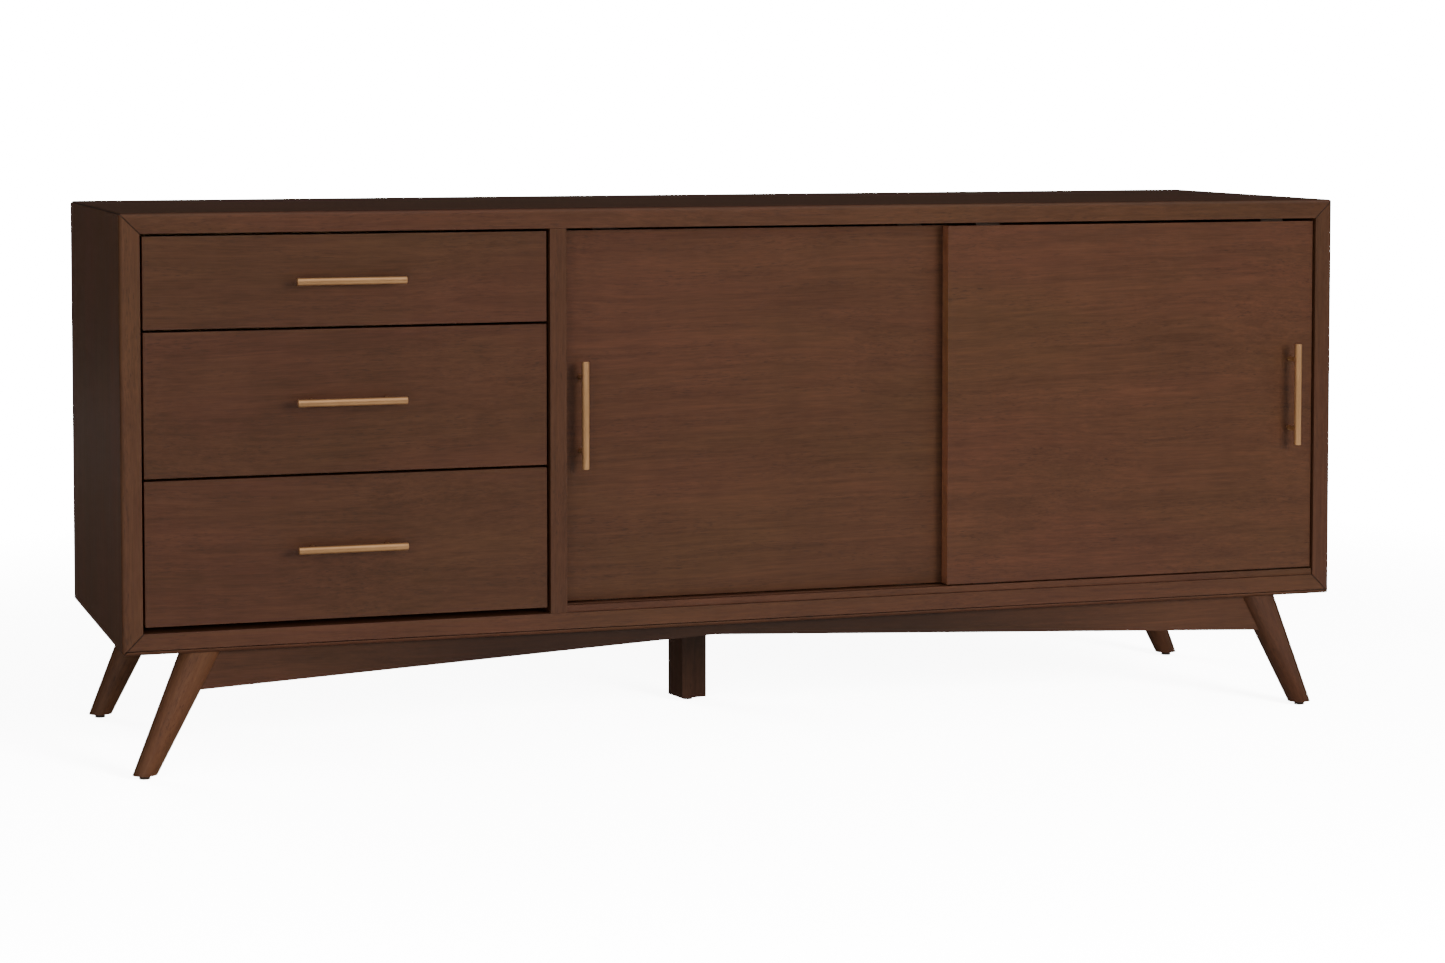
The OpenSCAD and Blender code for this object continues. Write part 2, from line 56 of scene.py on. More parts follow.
CAMERA_AT = Vector((-1.3867, -4.2983, 0.8629))
CAMERA_YAW = 18.124     # degrees to the right of straight ahead
CAMERA_PITCH = -3.052   # degrees, downwards
CAMERA_SHIFT = -0.15    # keeps the uprights nearly parallel, as a shift lens does
SENSOR_WIDTH = 36.0     # millimetres, as is the lens
CAMERA_LENS = 81.729


def make_camera():
    data = bpy.data.cameras.new("camera")
    data.lens = CAMERA_LENS
    data.sensor_width = SENSOR_WIDTH
    data.shift_y = CAMERA_SHIFT
    data.clip_start, data.clip_end = 0.05, 200.0
    camera = bpy.data.objects.new("camera", data)
    camera.location = CAMERA_AT
    camera.rotation_euler = (math.radians(90 + CAMERA_PITCH), 0, math.radians(-CAMERA_YAW))
    bpy.context.scene.collection.objects.link(camera)
    bpy.context.scene.camera = camera


# ---------------------------------------------------------------- node helpers


class Graph:
    """Short calls for building the nodes of a material or of the world."""

    def __init__(self, owner):
        owner.use_nodes = True
        self.owner = owner
        self.tree = owner.node_tree

    def node(self, kind, inputs=None, **settings):
        made = self.tree.nodes.new(kind)
        for key, value in settings.items():
            setattr(made, key, value)
        for key, value in (inputs or {}).items():
            self.put(made.inputs[key], value)
        return made

    def put(self, socket, value):
        if isinstance(value, bpy.types.NodeSocket):
            self.tree.links.new(value, socket)
        else:
            socket.default_value = value

    def place(self):
        return self.node("ShaderNodeTexCoord").outputs["Object"]

    def parts(self, vector):
        return self.node("ShaderNodeSeparateXYZ", {"Vector": vector}).outputs

    def math(self, operation, *values):
        made = self.node("ShaderNodeMath", operation=operation)
        for socket, value in zip(made.inputs, values):
            self.put(socket, value)
        return made.outputs[0]

    def mix(self, amount, first, second, blend="MIX"):
        made = self.node("ShaderNodeMix", data_type="RGBA", blend_type=blend)
        self.put(made.inputs["Factor"], amount)
        self.put(made.inputs["A"], first)
        self.put(made.inputs["B"], second)
        return made.outputs["Result"]

    def remap(self, value, low, high, to_low=0.0, to_high=1.0, curve="LINEAR"):
        made = self.node("ShaderNodeMapRange", {
            "Value": value, "From Min": low, "From Max": high, "To Min": to_low, "To Max": to_high,
        }, interpolation_type=curve)
        return made.outputs["Result"]

    def noise(self, vector, scale, detail=2.0, rough=0.5):
        made = self.node("ShaderNodeTexNoise", {
            "Vector": vector, "Scale": scale, "Detail": detail, "Roughness": rough})
        return made.outputs["Fac"]

    def stretch(self, vector, factors, shift=(0, 0, 0)):
        made = self.node("ShaderNodeMapping", {"Vector": vector, "Scale": factors, "Location": shift})
        return made.outputs["Vector"]

    def bump(self, height, strength, distance):
        made = self.node("ShaderNodeBump", {"Height": height, "Strength": strength, "Distance": distance})
        return made.outputs["Normal"]

    def diffuse(self, colour):
        return self.node("ShaderNodeBsdfDiffuse", {"Color": colour}).outputs[0]

    def emission(self, strength):
        return self.node("ShaderNodeEmission", {"Strength": strength}).outputs[0]

    def sum_shaders(self, first, second):
        return self.node("ShaderNodeAddShader", {0: first, 1: second}).outputs[0]

    def mix_shaders(self, amount, first, second):
        return self.node("ShaderNodeMixShader", {0: amount, 1: first, 2: second}).outputs[0]

    def set(self, **values):
        shader = self.tree.nodes["Principled BSDF"]
        for key, value in values.items():
            self.put(shader.inputs[key.replace("_", " ")], value)


def new_material(name):
    """A graph that starts with the usual shader."""
    return Graph(bpy.data.materials.new(name))


def rgba(colour, gain=1.0):
    return (colour[0] * gain, colour[1] * gain, colour[2] * gain, 1.0)


# ---------------------------------------------------------------- wood

LEG_SPLAY = 24.5   # degrees from upright, for the grain of the legs

# Turns that bring a board's grain onto the texture's X axis
ALONG = {
    "x": (0, 0, 0),
    "y": (0, 0, math.radians(-90)),
    "z": (0, math.radians(90), 0),
    "left_leg": (0, math.radians(90 - LEG_SPLAY), 0),
    "right_leg": (0, math.radians(90 + LEG_SPLAY), 0),
}

WALNUT = {
    "olive": (0.070, 0.0295, 0.0130), "red": (0.076, 0.0285, 0.0145), "dark": (0.030, 0.0140, 0.0085)}
WALNUT_DEEP = {
    "olive": (0.042, 0.022, 0.0115), "red": (0.052, 0.0225, 0.0140), "dark": (0.020, 0.0105, 0.0070)}
POPLAR = {"olive": (0.50, 0.36, 0.20), "red": (0.56, 0.37, 0.21), "dark": (0.36, 0.24, 0.13)}
PLYWOOD = {
    "olive": (0.105, 0.062, 0.034), "red": (0.120, 0.062, 0.036), "dark": (0.060, 0.034, 0.020)}

# Layers of light and dark, from the broadest to the finest, as
# (scale along the grain, scale across, detail, roughness, half of its range, strength)
GRAIN = {
    "cloud": (3.2, 5.5, 4.0, 0.55, 0.22, 0.055),
    "band": (1.6, 42.0, 3.0, 0.60, 0.20, 0.105),
    "streak": (9.0, 260.0, 3.0, 0.65, 0.20, 0.150),
    "fine": (34.0, 900.0, 2.0, 0.60, 0.20, 0.110),
    "ripple": (26.0, 6.0, 2.0, 0.50, 0.20, 0.035),
}
CLOUD_SHIFT = (4.1, 0.0, 2.2)   # keeps the clouds apart from the hue, which has much the same scale
GRAIN_WANDER = 0.10
PORE_SHIFT = (1.7, 3.3, 0.4)
PORE_STRENGTH = 0.62

SIDE_LIGHT = 3.0              # painted light: how much lighter a face that looks left or right is than the front, as if lit from the side
SIDE_LIGHT_TURN = (0.80, 0.95)   # how far sideways a face has to look to get the painted side light
MITRE_LINE = 1.1 * MM
MITRE_STRENGTH = 0.85
MITRE_TONE = 0.35
APRON_PEAK_X = -0.060
APRON_SHADE = 0.38         # painted shade: how dark the apron is made at its peak, where the case above shades it
# distances from the peak over which the apron's painted shade fades out
APRON_SHADE_REACH = (0.30, 0.66)


def wood(name, tones, along, seed, tilt=0.0, gain=1.0, gloss=0.46, coat=0.08, contrast=1.0,
         side_lit=False, mitred=False, painted_shade_peak=False):
    """Stained wood with its grain along one axis; seed moves it to another part of the log.

    side_lit paints light on the faces that look left or right, making them lighter, mitred draws the dark
    glue line of the case's corner joints, and painted_shade_peak paints shade that deepens around the
    apron's peak.
    """
    g = new_material(name)
    place = g.place()
    turned = g.node("ShaderNodeMapping", {"Vector": place, "Rotation": ALONG[along]}).outputs["Vector"]
    p = g.node("ShaderNodeMapping", {
        "Vector": turned,
        "Rotation": (0, 0, math.radians(tilt)),
        "Location": (seed * 1.731, seed * 0.577, seed * 0.913),
    }).outputs["Vector"]

    # slow wander of the grain, shared by all the finer layers
    wander = g.noise(g.stretch(p, (1.3, 2.6, 2.6)), 1.0)
    bend = g.math("MULTIPLY", g.math("SUBTRACT", wander, 0.5), GRAIN_WANDER)
    parts = g.parts(p)
    bent = g.node("ShaderNodeCombineXYZ", {
        "X": parts["X"],
        "Y": g.math("ADD", parts["Y"], bend),
        "Z": g.math("ADD", parts["Z"], g.math("MULTIPLY", bend, 0.6)),
    }).outputs["Vector"]

    hue = g.noise(g.stretch(bent, (2.0, 7.0, 7.0)), 1.0, detail=3.0, rough=0.55)
    colour = g.mix(g.remap(hue, 0.36, 0.64), rgba(tones["olive"]), rgba(tones["red"]))

    light = 1.0
    layers = {}
    for layer, (run, across, detail, rough, spread, strength) in GRAIN.items():
        shift = CLOUD_SHIFT if layer == "cloud" else (0, 0, 0)
        layers[layer] = g.noise(g.stretch(bent, (run, across, across), shift), 1.0, detail, rough)
        swing = g.remap(layers[layer], 0.5 - spread, 0.5 + spread, -1.0, 1.0)
        light = g.math("ADD", light, g.math("MULTIPLY", swing, strength * contrast))
    light = g.math("MULTIPLY", light, gain)
    # painted light: faces that look left or right are made lighter, as if lit from the side
    if side_lit:
        normal = g.node("ShaderNodeTexCoord").outputs["Normal"]
        sideways = g.math("ABSOLUTE", g.parts(normal)["X"])
        light = g.math("MULTIPLY", light, g.remap(sideways, *SIDE_LIGHT_TURN, 1.0, SIDE_LIGHT))
    # painted shade: the apron darkens towards its peak, where the case above shades it
    if painted_shade_peak:
        off_peak = g.math("ABSOLUTE", g.math("SUBTRACT", g.parts(place)["X"], APRON_PEAK_X))
        light = g.math("MULTIPLY", light, g.remap(off_peak, *APRON_SHADE_REACH, APRON_SHADE, 1.0))
    bright = g.node("ShaderNodeCombineColor", {"Red": light, "Green": light, "Blue": light}).outputs["Color"]
    colour = g.mix(1.0, colour, bright, "MULTIPLY")

    # open pores: short dark dashes along the grain
    dash = g.noise(g.stretch(bent, (85.0, 1150.0, 1150.0), PORE_SHIFT), 1.0, detail=1.0, rough=0.4)
    patch = g.noise(g.stretch(bent, (6.0, 60.0, 60.0)), 1.0, detail=1.0)
    pore = g.math("MULTIPLY", g.remap(dash, 0.58, 0.70), g.remap(patch, 0.38, 0.62))
    colour = g.mix(g.math("MULTIPLY", pore, PORE_STRENGTH * contrast), colour, rgba(tones["dark"]))

    if mitred:
        colour = g.mix(mitre_line(g, place), colour, rgba(tones["dark"], MITRE_TONE))

    height = g.math("SUBTRACT", g.math("MULTIPLY", layers["fine"], 0.35), pore)
    g.set(
        Base_Color=colour,
        Roughness=g.remap(layers["streak"], 0.25, 0.75, gloss - 0.05, gloss + 0.06),
        Normal=g.bump(height, 0.22, 0.12 * MM),
        Specular_IOR_Level=0.24,
        Coat_Weight=coat,
        Coat_Roughness=0.30,
    )
    return g.owner


def mitre_line(g, place):
    """The glue line's strength: full on the planes where the case's boards meet, then falling to 0."""
    parts = g.parts(place)
    from_side = g.math("SUBTRACT", g.math("ABSOLUTE", parts["X"]), CASE_HALF_WIDTH)
    off_middle = g.math("ABSOLUTE", g.math("SUBTRACT", parts["Z"], CASE_MIDDLE_Z))
    from_top = g.math("SUBTRACT", off_middle, CASE_HALF_HEIGHT)
    off_plane = g.math("ABSOLUTE", g.math("SUBTRACT", from_side, from_top))
    return g.remap(off_plane, MITRE_LINE / 2, MITRE_LINE, MITRE_STRENGTH, 0.0)


# ---------------------------------------------------------------- metal and plastic


BRASS_TONES = ((0.62, 0.335, 0.150), (0.70, 0.385, 0.178))
BRASS_LINES = (0.44, 0.23, 0.10)
ZINC_TONES = ((0.42, 0.43, 0.45), (0.56, 0.57, 0.58))
NYLON_TONES = ((0.030, 0.019, 0.013), (0.044, 0.028, 0.019))


def brass(name, along, seed, gain):
    """Brushed and lacquered brass; the brush lines run along the bar."""
    g = new_material(name)
    turned = g.node("ShaderNodeMapping", {
        "Vector": g.place(), "Rotation": ALONG[along], "Location": (seed, seed * 0.7, 0)}).outputs["Vector"]
    lines = g.noise(g.stretch(turned, (14.0, 2600.0, 2600.0)), 1.0, detail=3.0, rough=0.7)
    tone = g.noise(turned, 60.0, detail=3.0, rough=0.6)
    colour = g.mix(g.remap(tone, 0.3, 0.7), *(rgba(shade, gain) for shade in BRASS_TONES))
    colour = g.mix(g.remap(lines, 0.35, 0.65, 0.0, 0.35), colour, rgba(BRASS_LINES, gain))
    g.set(
        Base_Color=colour,
        Metallic=0.74,
        Roughness=g.remap(lines, 0.3, 0.7, 0.30, 0.42),
        Normal=g.bump(lines, 0.35, 0.06 * MM),
    )
    return g.owner


def zinc(name, seed):
    """Zinc-plated steel with the faint clouding of rolled sheet."""
    g = new_material(name)
    moved = g.node("ShaderNodeMapping", {"Vector": g.place(), "Location": (seed, 0, 0)}).outputs["Vector"]
    cloud = g.noise(moved, 45.0, detail=5.0, rough=0.6)
    lines = g.noise(g.stretch(moved, (900.0, 8.0, 900.0)), 1.0, detail=2.0, rough=0.6)
    g.set(
        Base_Color=g.mix(g.remap(cloud, 0.3, 0.7), *(rgba(shade) for shade in ZINC_TONES)),
        Metallic=1.0,
        Roughness=g.remap(cloud, 0.25, 0.75, 0.28, 0.42),
        Normal=g.bump(lines, 0.2, 0.04 * MM),
    )
    return g.owner


def nylon(name):
    """Moulded nylon with a fine matt texture."""
    g = new_material(name)
    place = g.place()
    grain = g.noise(place, 1800.0, detail=3.0, rough=0.6)
    tone = g.noise(place, 120.0)
    g.set(
        Base_Color=g.mix(g.remap(tone, 0.3, 0.7), *(rgba(shade) for shade in NYLON_TONES)),
        Roughness=g.remap(grain, 0.3, 0.7, 0.48, 0.62),
        Normal=g.bump(grain, 0.3, 0.06 * MM),
    )
    return g.owner


# ---------------------------------------------------------------- dressing the CAD nodes

# node: (tones, grain axis, tilt of the grain in degrees, how light the board is, which also carries painted
# light and shade)
BOARDS = {
    "top_panel": (WALNUT, "x", 0.4, 0.97),
    "bottom_panel": (WALNUT, "x", -0.3, 1.0),
    "left_side_panel": (WALNUT, "z", 0.5, 1.05),
    "right_side_panel": (WALNUT, "z", -0.4, 0.84),
    "drawer_divider": (WALNUT, "z", 0.6, 0.88),
    "cupboard_partition": (WALNUT_DEEP, "z", 0.0, 1.0),
    "door_sill": (WALNUT, "x", 0.2, 0.97),
    "left_shelf": (WALNUT_DEEP, "x", 0.5, 1.0),
    "right_shelf": (WALNUT_DEEP, "x", -0.6, 0.95),
    "back_panel": (PLYWOOD, "x", 1.0, 1.0),
    "left_door_panel": (WALNUT, "x", 1.8, 0.98),
    "right_door_panel": (WALNUT, "x", 2.4, 1.02),
    "front_apron": (WALNUT, "x", 0.0, 0.95),
    "back_apron": (WALNUT, "x", 0.5, 0.92),
    "centre_post": (WALNUT_DEEP, "z", 0.0, 1.0),
    # painted light and shade: the left legs are made lighter and the right ones darker, as if lit from the
    # left
    "front_left_leg": (WALNUT, "left_leg", 0.0, 1.52),
    "front_right_leg": (WALNUT, "right_leg", 0.0, 0.92),
    "back_left_leg": (WALNUT, "left_leg", 0.0, 1.34),
    "back_right_leg": (WALNUT, "right_leg", 0.0, 0.95),
}
FRONT_TILTS = (-1.2, 2.6, -2.0)
for drawer, front_tilt in zip(DRAWERS, FRONT_TILTS):
    BOARDS[f"{drawer}_drawer_front"] = (WALNUT, "x", front_tilt, 0.89)
    BOARDS[f"{drawer}_drawer_left_side"] = (POPLAR, "y", 0.4, 1.0)
    BOARDS[f"{drawer}_drawer_right_side"] = (POPLAR, "y", -0.5, 1.0)
    BOARDS[f"{drawer}_drawer_back"] = (POPLAR, "x", 0.3, 1.0)
    BOARDS[f"{drawer}_drawer_bottom"] = (POPLAR, "y", 0.8, 1.0)
MITRED = {"top_panel", "bottom_panel", "left_side_panel", "right_side_panel"}
# the boards whose faces that look left or right get painted side light
SIDE_LIT_BOARDS = {f"{side}_door_panel" for side in DOORS} | {f"{drawer}_drawer_front" for drawer in DRAWERS}
SEED_STEP = 0.83    # how far apart two boards' pieces of the log are

WELD_GAP = 0.01 * MM
FLAT_ANGLE = 0.5    # degrees; faces closer than this are one plane
EDGE_ANGLE = 32     # degrees; sharper corners than this are eased
WALNUT_EASE = 0.8 * MM
POPLAR_EASE = 0.6 * MM
METAL_EASE = 0.2 * MM


def dress(node, material):
    """Gives a CAD node one material."""
    data = NODES[node].data
    data.materials.clear()
    data.materials.append(material)


def soften(node, width, segments=3, clamp=True):
    """Rounds a CAD node's sharp edges a little with modifiers; its own mesh stays as it is."""
    piece = NODES[node]
    for polygon in piece.data.polygons:
        polygon.use_smooth = True
    weld = piece.modifiers.new("weld", "WELD")
    weld.merge_threshold = WELD_GAP
    planar = piece.modifiers.new("planar", "DECIMATE")
    planar.decimate_type = "DISSOLVE"
    planar.angle_limit = math.radians(FLAT_ANGLE)
    bevel = piece.modifiers.new("bevel", "BEVEL")
    bevel.width = width
    bevel.segments = segments
    bevel.limit_method = "ANGLE"
    bevel.angle_limit = math.radians(EDGE_ANGLE)
    bevel.harden_normals = False
    bevel.use_clamp_overlap = clamp
    normals = piece.modifiers.new("normals", "WEIGHTED_NORMAL")
    normals.keep_sharp = True


def dress_boards():
    for seed, (node, (tones, along, tilt, gain)) in enumerate(BOARDS.items(), start=1):
        if tones is POPLAR:
            material = wood(
                f"wood_{node}", tones, along, seed * SEED_STEP, tilt, gain,
                gloss=0.50, coat=0.0, contrast=0.55)
        else:
            material = wood(
                f"wood_{node}", tones, along, seed * SEED_STEP, tilt, gain,
                side_lit=node in SIDE_LIT_BOARDS, mitred=node in MITRED, painted_shade_peak=node == "front_apron")
        dress(node, material)
        case_board = node.endswith("_panel") and "door" not in node
        soften(node, POPLAR_EASE if tones is POPLAR else WALNUT_EASE, clamp=not case_board)


def dress_hardware(brasses, steel, plastic):
    for node in NODES:
        if node in BOARDS:
            continue
        if node.endswith("_handle"):
            dress(node, brasses["z" if "door" in node else "x"])
        elif node.endswith("_guides") or node == "foot_glides":
            dress(node, plastic)
        else:
            dress(node, steel)
        soften(node, METAL_EASE, segments=2)


# ---------------------------------------------------------------- turned and pressed pieces


TINY = 1e-7
SMOOTH_ANGLE = 35    # degrees; sharper corners than this are drawn as edges
POST_PITCH = 96 * MM
POST_RADIUS = 3.5 * MM
END_CURVE = 0.9 * MM

HEAD_RADIUS = 4.0 * MM
HEAD_HEIGHT = 2.4 * MM
HEAD_PROFILE = ((0.0, 1.0), (0.35, 1.0), (0.70, 0.93), (0.92, 0.74))   # shares of height and radius
RECESS_ARM = 0.58
RECESS_HALF_WIDTH = 0.13
RECESS_DEPTH = 0.55
RECESS_TAPER = 0.8
SHANK_RADIUS = 2.0 * MM
THREAD_TURNS = 10
THREAD_PITCH = 0.7 * MM
THREAD_ROOT = 0.82
THREAD_TIP = 0.75
TIP_LENGTH = 0.5 * MM

BALL_RADIUS = 1.55 * MM
BALL_PITCH = 14 * MM
BALLS_IN_CAGE = 9
CAGE_STARTS = (18 * MM, 250 * MM)   # from the middle member's front end to a cage's first ball
CAGE_END = 8 * MM
BALL_FROM_WALL = 3.6 * MM
BALL_FROM_MEMBER = 1.65 * MM
CAGE_HALF_WIDTH = 1.9 * MM
CAGE_HALF_THICKNESS = 0.25 * MM
CAGE_CLIP = 1.2 * MM


def frame_along(direction):
    """A direction's unit vector, and two more square to it and to each other."""
    forward = Vector(direction).normalized()
    side = forward.orthogonal().normalized()
    return forward, side, forward.cross(side)


def ring(bm, centre, side, up, radius, count):
    return [
        bm.verts.new(centre + (side * math.cos(a) + up * math.sin(a)) * radius)
        for a in (2 * math.pi * k / count for k in range(count))]


def bridge(bm, near, far):
    """Faces between two loops of as many points each."""
    count = len(near)
    for k in range(count):
        n = (k + 1) % count
        bm.faces.new((near[k], near[n], far[n], far[k]))


def turn(bm, profile, start, direction, segments=40):
    """Adds a lathe-turned shape; profile lists (distance along, radius) and closes on the axis."""
    forward, side, up = frame_along(direction)
    start = Vector(start)
    rings = []
    for along, radius in profile:
        centre = start + forward * along
        if radius < TINY:
            rings.append([bm.verts.new(centre)])
        else:
            rings.append(ring(bm, centre, side, up, radius, segments))
    for near, far in zip(rings, rings[1:]):
        if len(near) == len(far) == segments:
            bridge(bm, near, far)
            continue
        for k in range(segments):
            n = (k + 1) % segments
            if len(near) == 1 and len(far) > 1:
                bm.faces.new((near[0], far[n], far[k]))
            elif len(near) > 1:
                bm.faces.new((near[k], near[n], far[0]))


def rounded_end(radius, curve, steps=4):
    """Profile points from the axis out round an end's edge."""
    points = [(0.0, 0.0), (0.0, (radius - curve) * 0.55)]
    for k in range(steps + 1):
        angle = math.pi / 2 * k / steps
        points.append((curve * (1 - math.cos(angle)), radius - curve * (1 - math.sin(angle))))
    return points


def new_piece(name, bm, material, body):
    bmesh.ops.recalc_face_normals(bm, faces=bm.faces)
    mesh = bpy.data.meshes.new(name)
    bm.to_mesh(mesh)
    bm.free()
    for polygon in mesh.polygons:
        polygon.use_smooth = True
    mesh.set_sharp_from_angle(angle=math.radians(SMOOTH_ANGLE))
    mesh.materials.append(material)
    piece = bpy.data.objects.new(name, mesh)
    bpy.context.scene.collection.objects.link(piece)
    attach(piece, body)
    return piece


def make_handle(node, body, material, axis):
    """Bar pull with eased ends on two round posts, which end inside the bar."""
    low, high = (Vector(corner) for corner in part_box(node))
    centre = (low + high) / 2
    along = "xyz".index(axis)
    across = 2 if axis == "x" else 0
    length = high[along] - low[along]
    radius = (high[across] - low[across]) / 2
    start = centre.copy()
    start[along] = low[along]
    start.y = low.y + radius
    direction = Vector((0, 0, 0))
    direction[along] = 1
    end = rounded_end(radius, END_CURVE)
    profile = end + [(length - reach, r) for reach, r in reversed(end)]
    bm = bmesh.new()
    turn(bm, profile, start, direction, 48)
    to_axis = high.y - start.y
    post = [(0.0, 0.0), (0.0, POST_RADIUS),
            (to_axis - radius * 0.5, POST_RADIUS), (to_axis - radius * 0.4, 0.0)]
    for side in (-1, 1):
        foot = centre.copy()
        foot[along] += side * POST_PITCH / 2
        foot.y = high.y
        turn(bm, post, foot, (0, -1, 0), 32)
    piece = new_piece(f"{node}_turned", bm, material, body)
    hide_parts(node)


def cross_outline(radius):
    """The twelve corners of a cross recess, anticlockwise from the first arm."""
    arm, half = radius * RECESS_ARM, radius * RECESS_HALF_WIDTH
    corners = [(arm, -half), (arm, half), (half, half)]
    outline = []
    for _ in range(4):
        outline += corners
        corners = [(-y, x) for x, y in corners]
    return outline


def cross_head(bm, at, direction):
    """Pan head with a cross recess; at is the middle of its underside."""
    forward, side, up = frame_along(direction)
    at = Vector(at)
    rings = [
        ring(bm, at + forward * HEAD_HEIGHT * rise, side, up, HEAD_RADIUS * share, 24)
        for rise, share in HEAD_PROFILE]
    bm.faces.new(rings[0])
    for near, far in zip(rings, rings[1:]):
        bridge(bm, near, far)
    outline = cross_outline(HEAD_RADIUS)
    top = at + forward * HEAD_HEIGHT
    bottom = top - forward * HEAD_HEIGHT * RECESS_DEPTH
    lip = [bm.verts.new(top + side * x + up * y) for x, y in outline]
    floor = [bm.verts.new(bottom + (side * x + up * y) * RECESS_TAPER) for x, y in outline]
    edges = [bm.edges.new((first, second)) for first, second in zip(lip, lip[1:] + lip[:1])]
    last = rings[-1]
    edges += [edge for edge in bm.edges if edge.verts[0] in last and edge.verts[1] in last]
    bmesh.ops.triangle_fill(bm, use_beauty=True, edges=edges)
    bridge(bm, floor, lip)
    bmesh.ops.contextual_create(bm, geom=floor)


def screw_profile(reach):
    """A shank that ends in a thread."""
    first = reach - THREAD_TURNS * THREAD_PITCH - TIP_LENGTH
    profile = [(0.0, 0.0), (0.0, SHANK_RADIUS), (first, SHANK_RADIUS)]
    for k in range(THREAD_TURNS):
        profile.append((first + (k + 0.5) * THREAD_PITCH, SHANK_RADIUS * THREAD_ROOT))
        profile.append((first + (k + 1) * THREAD_PITCH, SHANK_RADIUS))
    return profile + [(reach, SHANK_RADIUS * THREAD_TIP), (reach, 0.0)]


def make_screws(node, body, material, axis):
    """The two machine screws of a handle, with their heads towards the back."""
    low, high = (Vector(corner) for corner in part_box(node))
    centre = (low + high) / 2
    along = "xyz".index(axis)
    bm = bmesh.new()
    for side in (-1, 1):
        at = centre.copy()
        at[along] += side * POST_PITCH / 2
        at.y = high.y - HEAD_HEIGHT
        cross_head(bm, at, (0, 1, 0))
        turn(bm, screw_profile(at.y - low.y), at, (0, -1, 0), 16)
    piece = new_piece(f"{node}_turned", bm, material, body)
    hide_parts(node)


def make_slide_balls(drawer, steel):
    """Balls in strip cages above and below the middle member of both slides of a drawer."""
    low, high = (Vector(corner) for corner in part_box(f"{drawer}_slide_middle"))
    balls = bmesh.new()
    cages = bmesh.new()
    for x in (low.x + BALL_FROM_WALL, high.x - BALL_FROM_WALL):
        for z in (low.z - BALL_FROM_MEMBER, high.z + BALL_FROM_MEMBER):
            for cage_start in CAGE_STARTS:
                first = low.y + cage_start
                for k in range(BALLS_IN_CAGE):
                    bmesh.ops.create_icosphere(
                        balls, subdivisions=2, radius=BALL_RADIUS,
                        matrix=Matrix.Translation((x, first + k * BALL_PITCH, z)))
                last = first + (BALLS_IN_CAGE - 1) * BALL_PITCH
                pressed_strip(cages, x, z, first - CAGE_END, last + CAGE_END)
    new_piece(f"{drawer}_slide_balls", balls, steel, f"{drawer}_slides")
    new_piece(f"{drawer}_slide_cages", cages, steel, f"{drawer}_slides")


def pressed_strip(bm, x, z, y0, y1):
    """A thin strip with clipped corners that the balls stand in."""
    half, clip = CAGE_HALF_WIDTH, CAGE_CLIP
    outline = [(y0 + clip, -half), (y1 - clip, -half), (y1, -half + clip), (y1, half - clip),
               (y1 - clip, half), (y0 + clip, half), (y0, half - clip), (y0, -half + clip)]
    low = [bm.verts.new((x + u, y, z - CAGE_HALF_THICKNESS)) for y, u in outline]
    high = [bm.verts.new((x + u, y, z + CAGE_HALF_THICKNESS)) for y, u in outline]
    bm.faces.new(low)
    bm.faces.new(list(reversed(high)))
    bridge(bm, low, high)


def make_hardware():
    steel = zinc("zinc", 0.3)
    plastic = nylon("nylon")
    # a level bar catches more of the light than an upright one, so the drawers' brass is darker
    brasses = {"x": brass("brass_drawer", "x", 0.2, 0.77), "z": brass("brass_door", "z", 0.9, 0.92)}
    dress_hardware(brasses, steel, plastic)
    for drawer in DRAWERS:
        make_handle(f"{drawer}_drawer_handle", f"{drawer}_drawer", brasses["x"], "x")
        make_screws(f"{drawer}_drawer_screws", f"{drawer}_drawer", steel, "x")
        make_slide_balls(drawer, steel)
    for side in DOORS:
        make_handle(f"{side}_door_handle", f"{side}_door", brasses["z"], "z")
        make_screws(f"{side}_door_screws", f"{side}_door", steel, "z")


# ---------------------------------------------------------------- stage

FLOOR_HALF = 60.0
WHITE = 18.5               # radiance that the view transform shows as plain white
FLOOR_GAIN = 14.0          # how strongly the camera sees light and shadow on the floor
FLOOR_GLOW = 7.0
FLOOR_FADE = (1.3, 3.0)    # distances between which the floor turns into the backdrop
FLOOR_PAINT = (1.30, 1.28, 1.25, 1)        # what lights the object from below
FLOOR_MIRRORED = (0.15, 0.148, 0.145, 1)   # what the lacquer mirrors
FLOOR_SHINE = 0.9
SHINE_NEAR_END = (-0.36, -0.30)
SHINE_FAR_END = (-1.8, -1.3)
SHINE_ACROSS = (-0.9, -0.1)

# name: (place, aim, size, watts)
LIGHTS = {
    "key": ((1.75, -4.7, 1.50), (0.0, 0.0, 0.40), (1.5, 1.3), 174),
    "fill": ((-2.6, -4.2, 0.9), (-0.4, 0.0, 0.40), (1.8, 1.4), 37),
    "low": ((-0.9, -2.2, 0.16), (-0.1, 0.0, 0.16), (2.4, 0.24), 7),
    "back": ((-2.6, 4.6, 1.2), (0.0, 0.0, 0.40), (2.6, 1.4), 90),
}


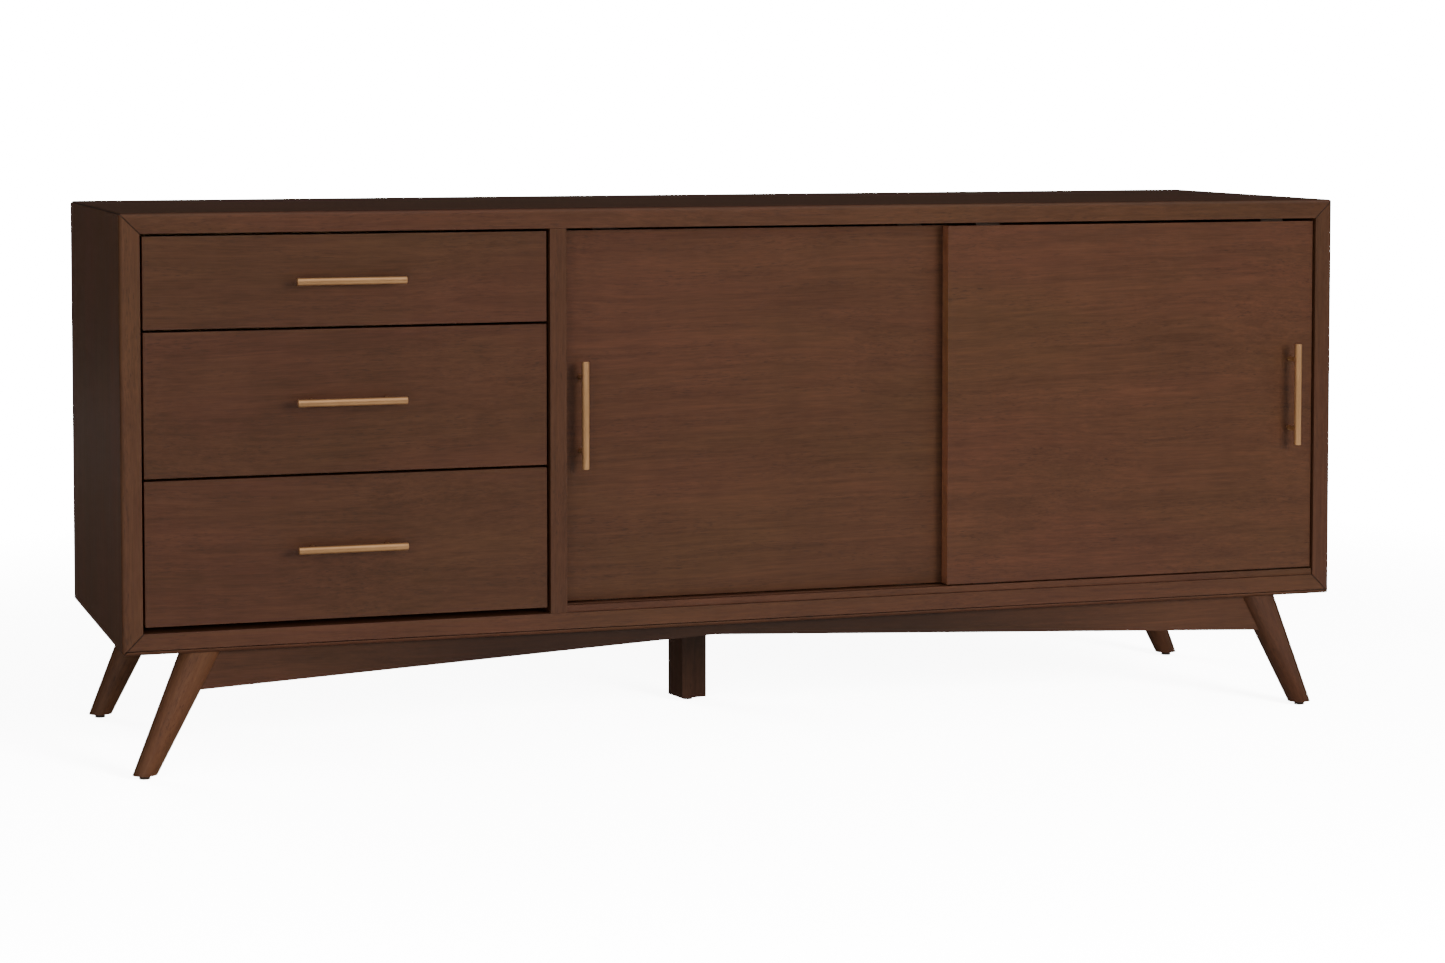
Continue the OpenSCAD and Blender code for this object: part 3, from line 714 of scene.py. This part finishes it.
def make_stage():
    """A pale floor that turns into the plain backdrop a few metres out."""
    mesh = bpy.data.meshes.new("floor")
    half = FLOOR_HALF
    corners = [(-half, -half, 0), (half, -half, 0), (half, half, 0), (-half, half, 0)]
    mesh.from_pydata(corners, [], [(0, 1, 2, 3)])
    floor = bpy.data.objects.new("floor", mesh)
    bpy.context.scene.collection.objects.link(floor)
    g = new_material("floor_paint")
    place = g.place()
    rays = g.node("ShaderNodeLightPath").outputs

    # as the camera sees it
    sheet = g.sum_shaders(g.diffuse(rgba((FLOOR_GAIN,) * 3)), g.emission(FLOOR_GLOW))
    reach = g.node("ShaderNodeVectorMath", {0: place}, operation="LENGTH").outputs["Value"]
    fade = g.remap(reach, *FLOOR_FADE, curve="SMOOTHSTEP")
    seen = g.mix_shaders(fade, sheet, g.emission(WHITE))

    # as the object sees it, with a strip that the satin lacquer mirrors along the bottom of the front
    paint = g.diffuse(g.mix(rays["Is Glossy Ray"], FLOOR_PAINT, FLOOR_MIRRORED))
    spot = g.parts(place)
    near_end = g.remap(spot["Y"], *SHINE_NEAR_END, 1.0, 0.0)
    strip = g.math("MULTIPLY", near_end, g.remap(spot["Y"], *SHINE_FAR_END))
    strip = g.math("MULTIPLY", strip, g.remap(spot["X"], *SHINE_ACROSS, 0.25, 1.0))
    strip = g.math("MULTIPLY", strip, rays["Is Glossy Ray"])
    unseen = g.sum_shaders(paint, g.emission(g.math("MULTIPLY", strip, FLOOR_SHINE)))

    nodes = g.tree.nodes
    choice = g.mix_shaders(rays["Is Camera Ray"], unseen, seen)
    g.put(nodes["Material Output"].inputs["Surface"], choice)
    nodes.remove(nodes["Principled BSDF"])
    mesh.materials.append(g.owner)


def area_light(name, at, towards, size, power):
    """A soft panel that lights the object without being mirrored in it."""
    data = bpy.data.lights.new(name, "AREA")
    data.shape = "RECTANGLE"
    data.size, data.size_y = size
    data.energy = power
    lamp = bpy.data.objects.new(name, data)
    lamp.location = at
    lamp.rotation_euler = (Vector(towards) - Vector(at)).to_track_quat("-Z", "Y").to_euler()
    lamp.visible_glossy = False
    bpy.context.scene.collection.objects.link(lamp)


def make_light():
    """A bright front, a dim top and back, and a white backdrop behind it all."""
    world = bpy.data.worlds.new("studio")
    bpy.context.scene.world = world
    g = Graph(world)
    parts = g.parts(g.node("ShaderNodeTexCoord").outputs["Generated"])
    rays = g.node("ShaderNodeLightPath").outputs

    def slope(axis, start, end, dim, lit):
        return g.remap(parts[axis], start, end, dim, lit, "SMOOTHSTEP")

    def choose(ray, otherwise, chosen):
        return g.node("ShaderNodeMix", {0: rays[ray], 2: otherwise, 3: chosen}, data_type="FLOAT").outputs[0]

    diffuse = g.math("MULTIPLY", slope("Y", 0.4, -0.6, 0.14, 0.42), slope("Z", 0.2, 0.9, 1.0, 0.45))
    overhead = g.math("MULTIPLY", slope("Z", 0.30, 0.75, 0.0, 1.0), slope("Y", 0.25, -0.15, 0.0, 1.05))
    glossy = g.math("ADD", overhead, slope("Y", 0.3, -0.5, 0.045, 0.60))
    backdrop = g.tree.nodes["Background"]
    backdrop.inputs["Color"].default_value = (1.0, 1.0, 1.0, 1.0)
    unseen = choose("Is Glossy Ray", diffuse, glossy)
    g.put(backdrop.inputs["Strength"], choose("Is Camera Ray", unseen, WHITE))
    for name, (at, towards, size, power) in LIGHTS.items():
        area_light(name, at, towards, size, power)


make_camera()
make_stage()
make_light()
dress_boards()
make_hardware()
